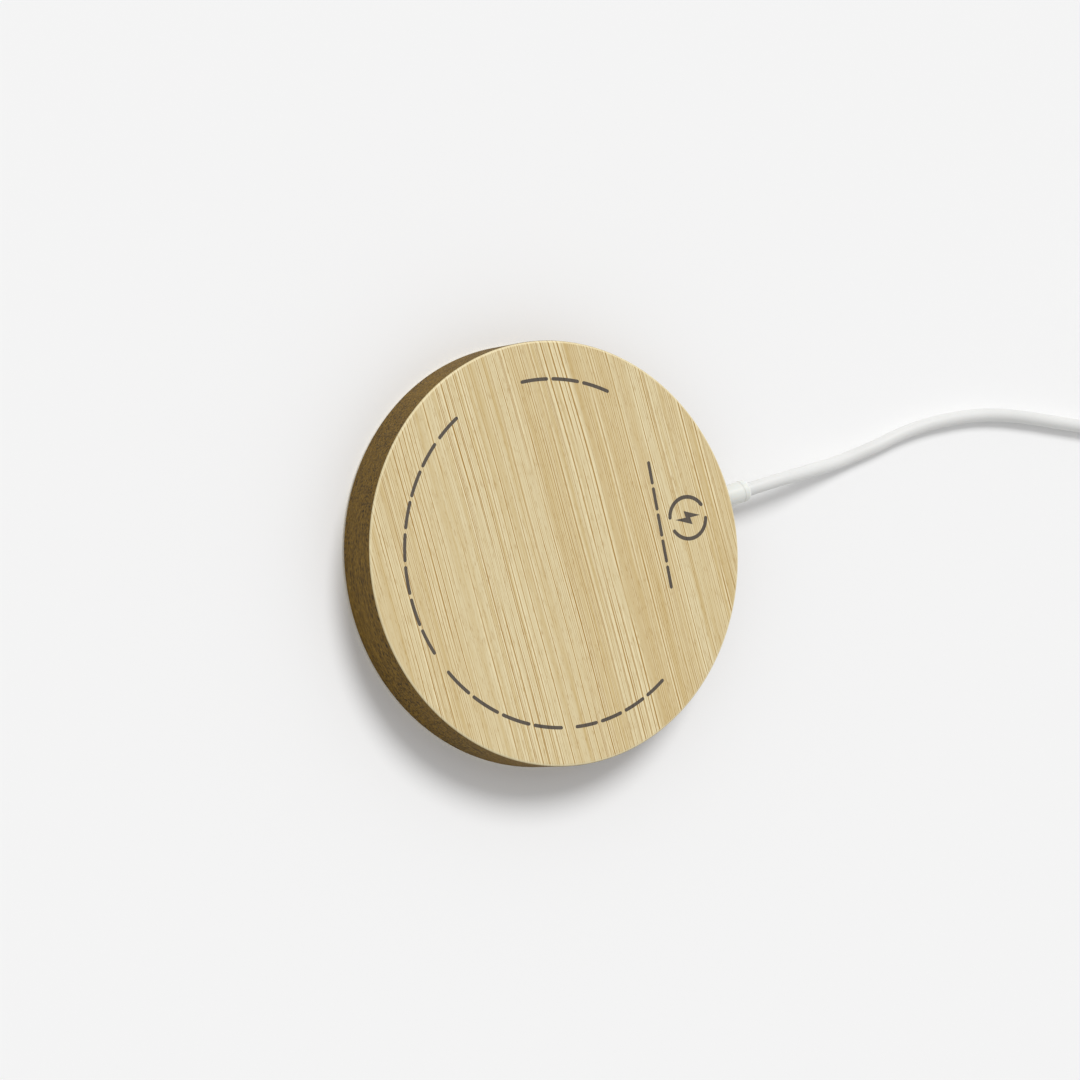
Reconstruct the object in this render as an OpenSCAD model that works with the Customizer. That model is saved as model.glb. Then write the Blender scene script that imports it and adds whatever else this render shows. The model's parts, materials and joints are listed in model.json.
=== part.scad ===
// Round magnetic wireless charging pad in a bamboo case, with a captive cord and plug.
// Millimetres. The pad lies on its charging face: z = 0 is that face, +Z points out of the
// bamboo back, and the cord leaves the side along +X. The origin is the middle of the face.

/* [Case] */
// Outside diameter of the bamboo case
case_d = 66; // [66:1:72]
// Overall height, from the charging face to the bamboo back
case_h = 9; // [9:0.25:11]
// Thickness of the bamboo side wall
side_t = 4; // [3.5:0.25:4.5]
// Thickness of the bamboo back
back_t = 2; // [1.5:0.25:2]
// Rounding of the case's outer edges
edge_r = 0.4; // [0.2:0.1:0.8]

/* [Charging side] */
// Thickness of the plastic cover
cover_t = 1.2; // [1:0.1:1.3]
// How far the grip ring stands proud of the cover
grip_proud = 0.3; // [0.2:0.1:0.4]
// Width of the grip ring
grip_w = 3.8; // [2:0.2:4]
// Mean diameter of the grip ring
grip_d = 52; // [44:1:54]

/* [Coil and magnets] */
// Diameter of the litz wire
litz_d = 1.15; // [1:0.05:1.15]
// Turns in the charging coil
coil_turns = 10; // [8:1:10]
// Radius at which the coil starts
coil_r = 9.3; // [9:0.1:9.5]
// Thickness of the ferrite disc
ferrite_t = 0.6; // [0.4:0.1:0.7]
// Arc magnets in the ring
magnet_count = 15; // [9:1:18]
// Thickness of the arc magnets
magnet_t = 1.5; // [1.2:0.1:1.6]

/* [Circuit board] */
// Radius of the round board
board_r = 21.5; // [20.5:0.5:22]
// Thickness of the board
board_t = 0.8; // [0.6:0.1:1]

/* [Cord] */
// Diameter of the cord
cord_d = 2.2; // [2:0.1:2.4]
// Diameter of the collar where the cord leaves the case
relief_d = 3.5; // [3.4:0.1:4]
// How far the collar stands out of the side
relief_out = 6; // [4:0.5:6]
// Mean radius of the wound cord
wind_r = 12.2; // [11.5:0.1:12.5]

/* [Plug] */
// Length of the moulded grip
grip_len = 19; // [16:1:22]
// Width of the moulded grip
grip_across = 11.6; // [10.6:0.2:12.2]
// Height of the moulded grip
grip_high = 6.4; // [5.6:0.2:6.6]

/* [Hidden] */
$fn = 96;

// Stack of layers, from the charging face upwards
film_t = 0.1;
tape_t = 0.2;
deck_t = 0.6;
shunt_t = 0.3;
groove_t = 0.5;
z_cover = grip_proud;
z_ledge = z_cover + cover_t + tape_t;
z_coil = z_ledge + litz_d / 2 + 0.02;
z_ferrite = z_ledge + litz_d + 0.05 + film_t;
z_deck = z_ferrite + ferrite_t + film_t;
z_board = z_deck + deck_t + tape_t;
z_top = z_board + board_t;
z_ceiling = case_h - back_t;
z_exit = case_h / 2;

// Radii of the case, and the gaps that let one piece go into another
case_r = case_d / 2;
ledge_w = 1.5;
pocket_r = case_r - side_t;
seat_r = pocket_r + ledge_w;
gap = 0.2;
fit = 0.05;
// How far a cutting shape runs past the face that it cuts
past = 1;

// Magnets, their carrier and the screws that hold it
magnet_r1 = 23.2;
magnet_r2 = 27.5;
carrier_wall = 0.5;
carrier_gap = 0.1;
carrier_r = magnet_r2 + carrier_gap + carrier_wall;
magnet_gap_deg = 20;
magnet_step = (360 - magnet_gap_deg) / magnet_count;
magnet_space_deg = 0.8;
screw_angles = [60, 180, 300];
screw_at = pocket_r + 0.9;
screw_r = 0.7;
head_r = 1.35;
head_t = 0.6;
screw_len = 2;
cross_l = 1.5;
cross_w = 0.3;
cross_deep = 0.3;
ear_r = 1.45;
neck_w = 2.3;
neck_x = carrier_r - 0.8 * carrier_wall;
scallop_r = 1.6;
scallop_deep = 0.5;

// Cord opening in the carrier, and the flats of the board
cord_slot_w = 7.2;
cord_slot_x = 20;
board_flat_x = 17;
lead_flat_x = -19.2;

// Openings for the coil's leads: the window beside the coil where both rise, the slot along
// which the inner lead runs, and the holes at the slot's end and at the middle
lead_x = -20.7;
lead_y = 1.5;
window_x = -22.2;
window_l = 3.2;
window_w = 7;
slot_x = -20;
slot_w = 1.7;
inner_at = [-8.4, -2];
wire_hole_r = 1.6;

// Thin layers and tapes round the ferrite
film_r = 21.8;
ferrite_r = 22.4;
board_tape_r = 15;

// Parts on the board: where each stands, its length, width and height, and its spacing
controller_at = [3, 7];
controller_size = [5, 5, 0.85];
protocol_at = [11, -5.5];
protocol_size = [2.9, 1.6, 1.1];
leg_pitch = [0.95, 1.1];
leg_size = [0.4, 0.7, 0.5];
bridge_at = [-8.2, 6.2];
bridge_pitch = 4.4;
bridge_size = [3.3, 3.3, 0.9];
resonant_at = [-4.5, -6];
resonant_pitch = [-3.6, -3.4];
resonant_size = [3.2, 2.5, 1.4];
filter_at = [10.5, 3.4];
filter_pitch = 2;
filter_size = [2, 1.25, 1.25];
sense_at = [3, -13];
sense_size = [6.4, 3.2, 0.6];
passive_size = [1.6, 0.8, 0.5];
// Rows of small passives: the first one's place, the step to the next, and how many
passive_rows = [[[-1.5, 12.5], [2.4, 0], 6], [[4.4, -8], [0, 1.5], 4],
    [[7.6, -8], [0, 1.5], 3], [[-13.6, -9], [0, 1.6], 4]];
thermistor_r = 0.8;
thermistor_leg_r = 0.2;
thermistor_leg_x = 0.6;

// Cord and collar
cord_r = cord_d / 2;
cord_floor = cord_r;
relief_r = relief_d / 2;
relief_round = 0.5;
flange_r = 2.3;
flange_t = 0.9;
flange_x = pocket_r - 1.2;
relief_x = case_r + relief_out;
tail_x = 24.5;
crimp_x = 25.6;
crimp_len = 1.9;
crimp_t = 0.6;
core_r = 0.38;
core_at = 0.45;

// Wound cord: a bundle of columns by layers of cord
wind_c = [134, 0];
wind_cols = 3;
wind_rows = 4;
wind_w = wind_cols * cord_d;
wind_h = wind_rows * cord_d;
tie_w = 5;
tie_t = 0.4;
tie_at = 95;
tie_round = 1.3;

// Plug: where its moulded grip starts, and which way it points
plug_at = [166, 2, grip_high / 2];
plug_turn = -90;
shell_w = 8.25;
shell_h = 2.4;
shell_t = 0.25;
shell_round = shell_h / 2 - 0.01;
liner_w = shell_w - 2 * shell_t;
liner_h = shell_h - 2 * shell_t;
shell_out = 6.6;
shell_in = 4;
grip_round = 2;
neck_len = 6;
neck_r1 = 1.7;
neck_r2 = 2.3;
tongue_x = 0.6;
tongue_w = 6.7;
tongue_t = 0.9;
contact_count = 12;
contact_pitch = 0.5;
contact_size = [4.2, 0.2, 0.28];
contact_up = 0.6;
contact_gap = [0.1, 0.02, 0.02];
chamber_size = [6, 8, 2];
chamber_lap = 0.5;
plug_board_size = [5.4, 7.2, 0.8];

// The cord from the collar to the wound cord, lying on the surface
cord_route = [
    [39, 0, 4.5], [43, 0, 4.5], [48, -0.1, 4.1], [53, -0.3, 3], [58, -0.5, 1.8], [63, -0.3, 1.2],
    [68, 0.1, 1.1], [73, 0.7, 1.1], [78, 0.9, 1.1], [83, 0.6, 1.1], [88, 0, 1.1], [93.5, -1.3, 1.1],
    [99, -3.2, 1.1], [104, -5.2, 1.1], [109, -7.2, 1.1], [115, -9.5, 1.1], [122.5, -12, 1.1],
    [130.3, -13.9, 1.1]];

// The cord from the top of the wound cord down to the plug
cord_end_route = [
    [148.4, 0, 7.7], [148.4, 4, 7.3], [148.4, 8, 6], [148.5, 12, 4.2], [149.2, 16, 2.6],
    [151.2, 20, 1.5], [154.4, 22.7, 1.1], [158.5, 23.4, 1.1], [162.4, 21.7, 1.2],
    [165, 18, 1.8], [165.9, 14, 2.8], [166, 11, 3.2], [166, 8, 3.2]];

function unit(v) = v / norm(v);

// Directions along a route: central differences, and the end segments' own directions
function headings(p) = [for (i = [0 : len(p) - 1])
    unit(p[min(i + 1, len(p) - 1)] - p[max(i - 1, 0)])];

// A side vector carried along the headings without twist
function carried(v, t) = unit(v - (v * t) * t);

// Closed tube of the given number of sides along a route
module tube(p, r, sides = 8, side_ref = [0, 0.1, 1]) {
    t = headings(p);
    n = [for (i = 0, v = carried(side_ref, t[0]); i < len(p);
        i = i + 1, v = i < len(p) ? carried(v, t[i]) : v) v];
    ring = [for (i = [0 : len(p) - 1]) for (k = [0 : sides - 1])
        p[i] + r * (cos(360 * k / sides) * n[i] + sin(360 * k / sides) * cross(t[i], n[i]))];
    skin = [for (i = [0 : len(p) - 2]) for (k = [0 : sides - 1])
        let (a = i * sides + k, b = i * sides + (k + 1) % sides) [a, a + sides, b + sides, b]];
    caps = [[for (k = [0 : sides - 1]) k],
        [for (k = [sides - 1 : -1 : 0]) (len(p) - 1) * sides + k]];
    polyhedron(points = ring, faces = concat(skin, caps), convexity = 10);
}

// Points of a quarter circle, for rounded profiles
function corner(c, r, from) = [for (a = [from : 22.5 : from + 90]) c + r * [cos(a), sin(a)]];

// Flat ring
module ring(r1, r2, z, h) {
    translate([0, 0, z]) difference() {
        cylinder(h = h, r = r2);
        translate([0, 0, -1]) cylinder(h = h + 2, r = r1);
    }
}

// Rectangle with rounded corners, in the XY plane, centred
module soft_rect(w, h, r) {
    square([w - 2 * r, h], center = true);
    square([w, h - 2 * r], center = true);
    for (x = [-1, 1]) for (y = [-1, 1])
        translate([x * (w / 2 - r), y * (h / 2 - r)]) circle(r = r, $fn = 32);
}

// Box standing on the board's top face, centred on x, y
module on_board(x, y, size) {
    translate([x - size[0] / 2, y - size[1] / 2, z_top]) cube(size);
}

module bamboo_case() {
    profile = concat([[0, case_h]], [for (q = corner([case_r - edge_r, case_h - edge_r], edge_r, 0))
        [case_r - edge_r + (q[1] - case_h + edge_r), case_h - edge_r + (q[0] - case_r + edge_r)]],
        [for (q = corner([0, 0], edge_r, 0)) [case_r - edge_r + q[0], z_cover + edge_r - q[1]]],
        [[seat_r, z_cover], [seat_r, z_ledge], [pocket_r, z_ledge], [pocket_r, z_ceiling], [0, z_ceiling]]);
    z_scallop = z_ledge - scallop_deep;
    z_carrier = z_deck + deck_t;
    color("burlywood") difference() {
        rotate_extrude() polygon(profile);
        translate([pocket_r - past, 0, z_exit]) rotate([0, 90, 0])
            cylinder(h = side_t + 2 * past, r = relief_r + fit);
        for (a = screw_angles) rotate(a) translate([screw_at, 0, z_scallop]) {
            cylinder(h = z_carrier + fit - z_scallop, r = scallop_r);
            cylinder(h = z_carrier + screw_len - z_scallop, r = screw_r + 0.02);
        }
    }
}

module charging_cover() {
    color("whitesmoke") difference() {
        translate([0, 0, z_cover]) cylinder(h = cover_t, r = seat_r - gap);
        ring(grip_d / 2 - grip_w / 2 - fit, grip_d / 2 + grip_w / 2 + fit, z_cover - past, past + groove_t);
    }
}

module grip_ring() {
    color("gainsboro") ring(grip_d / 2 - grip_w / 2, grip_d / 2 + grip_w / 2, 0, z_cover + groove_t);
}

module cover_tape() {
    color("lightgray") ring(pocket_r + gap / 2, seat_r - gap, z_cover + cover_t, tape_t);
}

// Radius of the spiral after a number of turns, and a point on it
function spiral_r(turn) = coil_r + (litz_d + 0.05) * turn;
function spiral_at(turn) = [spiral_r(turn) * cos(200 + 360 * turn),
    spiral_r(turn) * sin(200 + 360 * turn), z_coil];

module charging_coil() {
    step = 1 / 18;
    last = coil_turns - 0.08;
    out_x = spiral_at(last)[0];
    lead_top = z_top + litz_d / 2 + 0.05;
    lead_z = z_ferrite + litz_d / 2;
    inner_lead = [[-15.5, -lead_y, lead_top], [-17.5, -lead_y, lead_top], [-19.2, -lead_y, lead_top - 0.05],
        [-20.3, -lead_y, lead_top - 0.6], [lead_x, -lead_y, z_board + 0.2], [-20.4, -lead_y, z_deck + 0.4],
        [-19.3, -lead_y, lead_z + 0.02], [-17, -lead_y, lead_z], [-11.5, -lead_y, lead_z],
        [-9.8, -lead_y, lead_z - 0.1], [-8.7, -1.7, z_coil + 0.75], [-8.4, -2.4, z_coil + 0.1]];
    outer_lead = [[out_x, 2.4, z_coil + 0.2], [lead_x - 0.1, 1.8, z_coil + 0.9],
        [lead_x, lead_y, z_deck], [lead_x, lead_y, z_board], [-20.3, lead_y, lead_top - 0.6],
        [-19.2, lead_y, lead_top - 0.05], [-17.5, lead_y, lead_top], [-15.5, lead_y, lead_top]];
    turns = [for (u = [0 : step : last - step / 2]) spiral_at(u)];
    color("chocolate") tube(concat(inner_lead, turns, [spiral_at(last)], outer_lead), litz_d / 2, 6);
}

// Openings that let the coil's leads and the thermistor through to the board
module lead_openings(z, h) {
    translate([window_x, -window_w / 2, z]) cube([window_l, window_w, h]);
    translate([slot_x, -lead_y - slot_w / 2, z]) cube([inner_at[0] - slot_x, slot_w, h]);
    for (at = [inner_at, [0, 0]]) translate([at[0], at[1], z]) cylinder(h = h, r = wire_hole_r);
}

// Thin disc with the openings for the leads and the thermistor
module layer(z, h, r) {
    difference() {
        translate([0, 0, z]) cylinder(h = h, r = r);
        lead_openings(z - past, h + 2 * past);
    }
}

module coil_tape() {
    color("khaki") layer(z_ferrite - film_t, film_t, film_r);
}

module ferrite_disc() {
    color("dimgray") layer(z_ferrite, ferrite_t, ferrite_r);
}

module ferrite_tape() {
    color("khaki") layer(z_ferrite + ferrite_t, film_t, film_r);
}

module magnet_carrier() {
    z_low = z_deck - shunt_t - magnet_t;
    wall_1 = magnet_r1 - carrier_gap;
    wall_2 = magnet_r2 + carrier_gap;
    color("ivory") difference() {
        union() {
            rotate_extrude() polygon([[0, z_deck], [wall_1 - carrier_wall, z_deck],
                [wall_1 - carrier_wall, z_low], [wall_1, z_low], [wall_1, z_deck], [wall_2, z_deck],
                [wall_2, z_low], [carrier_r, z_low], [carrier_r, z_deck + deck_t], [0, z_deck + deck_t]]);
            for (a = screw_angles) rotate(a) {
                translate([screw_at, 0, z_deck]) cylinder(h = deck_t, r = ear_r);
                translate([neck_x, -neck_w / 2, z_deck]) cube([screw_at - neck_x, neck_w, deck_t]);
            }
        }
        lead_openings(z_deck - past, deck_t + 2 * past);
        translate([cord_slot_x, -cord_slot_w / 2, 0]) cube([case_r, cord_slot_w, case_h]);
        for (a = screw_angles) rotate(a) translate([screw_at, 0, z_deck - past])
            cylinder(h = deck_t + 2 * past, r = screw_r + carrier_gap);
    }
}

module alignment_magnets() {
    color("silver") for (i = [0 : magnet_count - 1])
        rotate(magnet_gap_deg / 2 + i * magnet_step + magnet_space_deg / 2)
            translate([0, 0, z_deck - shunt_t - magnet_t])
                rotate_extrude(angle = magnet_step - magnet_space_deg)
                    translate([magnet_r1, 0]) square([magnet_r2 - magnet_r1, magnet_t]);
}

module shunt_ring() {
    color("slategray") rotate(magnet_gap_deg / 2) translate([0, 0, z_deck - shunt_t])
        rotate_extrude(angle = 360 - magnet_gap_deg)
            translate([magnet_r1, 0]) square([magnet_r2 - magnet_r1, shunt_t]);
}

module carrier_screws() {
    color("darkgray") for (a = screw_angles) rotate(a) translate([screw_at, 0, 0]) difference() {
        union() {
            translate([0, 0, z_deck - head_t]) cylinder(h = head_t, r = head_r);
            translate([0, 0, z_deck - head_t]) cylinder(h = head_t + deck_t + screw_len - gap, r = screw_r);
        }
        for (turn = [0, 90]) rotate(turn) translate([-cross_l / 2, -cross_w / 2, z_deck - head_t - past])
            cube([cross_l, cross_w, past + cross_deep]);
    }
}

module board_tape() {
    color("black") difference() {
        translate([0, 0, z_deck + deck_t]) cylinder(h = tape_t, r = board_tape_r);
        translate([0, 0, z_deck]) cylinder(h = deck_t + tape_t + past, r = wire_hole_r);
    }
}

module circuit_board() {
    color("darkgreen") difference() {
        intersection() {
            translate([0, 0, z_board]) cylinder(h = board_t, r = board_r);
            translate([lead_flat_x, -case_r, z_board]) cube([board_flat_x - lead_flat_x, case_d, board_t]);
        }
        for (x = [-thermistor_leg_x, thermistor_leg_x]) translate([x, 0, z_board - past])
            cylinder(h = board_t + 2 * past, r = thermistor_leg_r + fit);
    }
}

module controller_chip() {
    color("black") on_board(controller_at[0], controller_at[1], controller_size);
}

module protocol_chip() {
    color("black") on_board(protocol_at[0], protocol_at[1], protocol_size);
    color("silver") for (i = [-1 : 1]) for (side = [-1, 1])
        on_board(protocol_at[0] + i * leg_pitch[0], protocol_at[1] + side * leg_pitch[1], leg_size);
}

module bridge_transistors() {
    color("black") for (i = [-1, 1]) for (j = [-1, 1])
        on_board(bridge_at[0] + i * bridge_pitch / 2, bridge_at[1] + j * bridge_pitch / 2, bridge_size);
}

module resonant_capacitors() {
    color("tan") for (x = [0, resonant_pitch[0]]) for (y = [0, resonant_pitch[1]])
        on_board(resonant_at[0] + x, resonant_at[1] + y, resonant_size);
}

module filter_capacitors() {
    color("sienna") for (i = [0 : 2])
        on_board(filter_at[0], filter_at[1] + i * filter_pitch, filter_size);
}

module sense_resistor() {
    color("black") on_board(sense_at[0], sense_at[1], sense_size);
}

module small_passives() {
    color("gray") for (row = passive_rows) for (i = [0 : row[2] - 1])
        on_board(row[0][0] + i * row[1][0], row[0][1] + i * row[1][1], passive_size);
}

module thermistor() {
    z_bead = z_ledge + thermistor_r;
    color("darkorange") {
        translate([0, 0, z_bead]) sphere(r = thermistor_r, $fn = 32);
        for (x = [-thermistor_leg_x, thermistor_leg_x]) translate([x, 0, z_bead])
            cylinder(h = z_top + 0.6 - z_bead, r = thermistor_leg_r, $fn = 24);
    }
}

// One core of the cord: from its place in the jacket, fanned out to its pad on the board
module core_wire(side, up, pad_y) {
    y = side * core_at;
    z = z_exit + up * core_at;
    over = z_top + core_r + fit;
    tube([[tail_x, y, z], [tail_x - 1, y, z], [tail_x - 3, (y * 2 + pad_y) / 3, z + (over + 0.3 - z) * 0.4],
        [tail_x - 5, (y + pad_y * 2) / 3, over + 0.1], [tail_x - 7, pad_y, over + 0.3],
        [tail_x - 8.5, pad_y, over + 0.1], [tail_x - 9.5, pad_y, over],
        [tail_x - 11, pad_y, over]], core_r);
}

module wire_red() {
    color("red") core_wire(1, 1, 2.7);
}

module wire_black() {
    color("black") core_wire(-1, 1, -2.7);
}

module wire_green() {
    color("green") core_wire(1, -1, 0.9);
}

module wire_white() {
    color("white") core_wire(-1, -1, -0.9);
}

// Turned shape along +X at the cord's height, from a profile of [x, radius] points
module along_cord(profile) {
    translate([0, 0, z_exit]) rotate([0, 90, 0]) rotate_extrude()
        polygon([for (q = profile) [q[1], q[0]]]);
}

module cord_tail() {
    color("white") along_cord([[tail_x, 0], [tail_x, cord_r], [relief_x, cord_r], [relief_x, 0]]);
}

module cord_crimp() {
    color("silver") along_cord([[crimp_x, cord_r], [crimp_x, cord_r + crimp_t],
        [crimp_x + crimp_len, cord_r + crimp_t], [crimp_x + crimp_len, cord_r]]);
}

module strain_relief() {
    rounding = [for (a = [90 : -22.5 : 0])
        [relief_x + relief_round * (cos(a) - 1), relief_r + relief_round * (sin(a) - 1)]];
    color("white") along_cord(concat([[flange_x, cord_r], [flange_x, flange_r],
        [flange_x + flange_t, flange_r], [flange_x + flange_t, relief_r]], rounding, [[relief_x, cord_r]]));
}

module cord() {
    color("white") tube(cord_route, cord_r);
}

module cord_coil() {
    color("white") difference() {
        translate([wind_c[0], wind_c[1], 0]) rotate_extrude()
            translate([wind_r, wind_h / 2]) soft_rect(wind_w, wind_h, cord_r);
        tie_loop(wind_w + past, wind_h + past);
    }
}

// Closed strap round the wound cord: everything between its inside and the given outer size
module tie_loop(outer_w, outer_h) {
    translate([wind_c[0], wind_c[1], wind_h / 2]) rotate(tie_at) translate([wind_r, 0, 0])
        rotate([90, 0, 0]) linear_extrude(tie_w, center = true) difference() {
            square([outer_w, outer_h], center = true);
            soft_rect(wind_w - 2 * tie_t, wind_h - 2 * tie_t, tie_round - tie_t + 0.1);
        }
}

module coil_tie() {
    color("lightgray") intersection() {
        tie_loop(wind_w + past, wind_h + past);
        translate([wind_c[0], wind_c[1], wind_h / 2]) rotate(tie_at) translate([wind_r, 0, 0])
            rotate([90, 0, 0]) linear_extrude(tie_w, center = true) soft_rect(wind_w, wind_h, tie_round);
    }
}

module cord_end() {
    color("white") tube(cord_end_route, cord_r);
}

// Places a shape drawn along +X from the start of the moulded grip
module at_plug() {
    translate(plug_at) rotate(plug_turn) children();
}

// Extrusion along +X of a shape drawn with its width across and its height up
module along_plug(x, length) {
    translate([x, 0, 0]) rotate([90, 0, 90]) linear_extrude(length) children();
}

module plug_body() {
    color("white") at_plug() difference() {
        union() {
            along_plug(0, grip_len) soft_rect(grip_across, grip_high, grip_round);
            translate([-neck_len, 0, 0]) rotate([0, 90, 0])
                cylinder(h = neck_len + past, r1 = neck_r1, r2 = neck_r2);
        }
        along_plug(grip_len - shell_in, shell_in + past) soft_rect(shell_w, shell_h, shell_round);
        translate([grip_len - shell_in - chamber_size[0], -chamber_size[1] / 2, -chamber_size[2] / 2])
            cube(chamber_size + [chamber_lap, 0, 0]);
        translate([-neck_len - past, 0, 0]) rotate([0, 90, 0]) cylinder(h = past, r = cord_r);
    }
}

module plug_shell() {
    color("silver") at_plug() difference() {
        along_plug(grip_len - shell_in, shell_in + shell_out) soft_rect(shell_w, shell_h, shell_round);
        along_plug(grip_len - shell_in - past, shell_in + shell_out + 2 * past)
            soft_rect(liner_w, liner_h, shell_round - shell_t);
    }
}

module plug_liner() {
    color("black") at_plug() difference() {
        along_plug(grip_len - shell_in + 0.2, shell_in + shell_out - 0.6)
            soft_rect(liner_w, liner_h, shell_round - shell_t);
        along_plug(grip_len + tongue_x, shell_out) square([tongue_w, tongue_t], center = true);
        contacts(grip_len + tongue_x - contact_gap[0], contact_size + 2 * contact_gap);
    }
}

// Two rows of contacts of the given size, above and below the tongue's space
module contacts(x, size) {
    for (i = [0 : contact_count - 1]) for (side = [-1, 1])
        translate([x, (i - (contact_count - 1) / 2) * contact_pitch, side * contact_up])
            translate([0, -size[1] / 2, -size[2] / 2]) cube(size);
}

module plug_contacts() {
    color("gold") at_plug() contacts(grip_len + tongue_x, contact_size);
}

module plug_board() {
    size = plug_board_size;
    color("darkgreen") at_plug() translate([grip_len - shell_in - size[0] - gap, -size[1] / 2, -size[2] / 2])
        cube(size);
}

bamboo_case();
charging_cover();
grip_ring();
cover_tape();
charging_coil();
coil_tape();
ferrite_disc();
ferrite_tape();
magnet_carrier();
alignment_magnets();
shunt_ring();
carrier_screws();
board_tape();
circuit_board();
controller_chip();
protocol_chip();
bridge_transistors();
resonant_capacitors();
filter_capacitors();
sense_resistor();
small_passives();
thermistor();
wire_red();
wire_black();
wire_green();
wire_white();
cord_tail();
cord_crimp();
strain_relief();
cord();
cord_coil();
coil_tie();
cord_end();
plug_body();
plug_shell();
plug_liner();
plug_contacts();
plug_board();
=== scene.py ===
"""Looks for the bamboo wireless charging pad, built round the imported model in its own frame."""
import json
import math

import bmesh
import bpy
from mathutils import Matrix, Vector


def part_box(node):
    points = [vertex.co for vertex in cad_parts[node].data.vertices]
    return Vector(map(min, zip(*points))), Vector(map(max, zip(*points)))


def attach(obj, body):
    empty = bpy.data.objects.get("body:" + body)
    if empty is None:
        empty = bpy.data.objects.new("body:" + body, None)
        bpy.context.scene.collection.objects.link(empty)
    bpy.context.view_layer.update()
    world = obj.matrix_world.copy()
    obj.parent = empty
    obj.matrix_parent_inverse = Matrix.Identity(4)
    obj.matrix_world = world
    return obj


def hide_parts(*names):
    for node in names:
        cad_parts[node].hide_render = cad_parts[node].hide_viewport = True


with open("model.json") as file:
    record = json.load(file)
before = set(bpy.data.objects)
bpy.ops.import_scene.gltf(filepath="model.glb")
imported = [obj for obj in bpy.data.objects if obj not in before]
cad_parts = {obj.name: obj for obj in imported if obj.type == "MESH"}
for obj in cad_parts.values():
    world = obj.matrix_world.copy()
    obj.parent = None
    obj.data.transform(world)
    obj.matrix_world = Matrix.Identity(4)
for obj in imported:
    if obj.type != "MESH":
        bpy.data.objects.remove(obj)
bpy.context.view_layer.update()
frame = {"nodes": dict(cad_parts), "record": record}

MM = 0.001

# ---------------------------------------- camera

# The photograph's view: the point looked at and from where, angles in degrees, lens in millimetres
AIM = Vector((2.5, 1.9, 0)) * MM
DISTANCE = 681 * MM
AZIMUTH = 170.15
ELEVATION = 59.87
ROLL = 83.8
LENS = 144.93
SENSOR = 36
CLIP_END = 10


def make_camera():
    """Camera rolled about its own axis, so that the pad stands as in the photograph."""
    az, el, roll = (math.radians(a) for a in (AZIMUTH, ELEVATION, ROLL))
    back = Vector((math.cos(el) * math.cos(az), math.cos(el) * math.sin(az), math.sin(el)))
    level = (-back).cross(Vector((0, 0, 1))).normalized()
    upright = level.cross(-back)
    right = math.cos(roll) * level + math.sin(roll) * upright
    up = back.cross(right)
    data = bpy.data.cameras.new("camera")
    data.lens = LENS
    data.sensor_width = SENSOR
    data.clip_end = CLIP_END
    camera = bpy.data.objects.new("camera", data)
    bpy.context.scene.collection.objects.link(camera)
    camera.matrix_world = Matrix.Translation(AIM + DISTANCE * back) @ Matrix(
        (right, up, back)).transposed().to_4x4()
    bpy.context.scene.camera = camera


make_camera()

# ---------------------------------------- materials

# The display curve: straight up to its limit, a power above it
SRGB_LIMIT = 0.04045
SRGB_SLOPE = 12.92
SRGB_LIFT = 0.055
SRGB_POWER = 2.4

# Vector operations that give a number
MEASURES = ("LENGTH", "DISTANCE")


def rgb(red, green, blue):
    """Linear colour from an 8-bit display colour."""
    out = []
    for c in (red / 255, green / 255, blue / 255):
        out.append(c / SRGB_SLOPE if c <= SRGB_LIMIT else ((c + SRGB_LIFT) / (1 + SRGB_LIFT)) ** SRGB_POWER)
    return (*out, 1)


def shade(colour, factor):
    """The colour made darker or lighter."""
    return tuple(c * factor for c in colour[:3]) + (1,)


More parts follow.
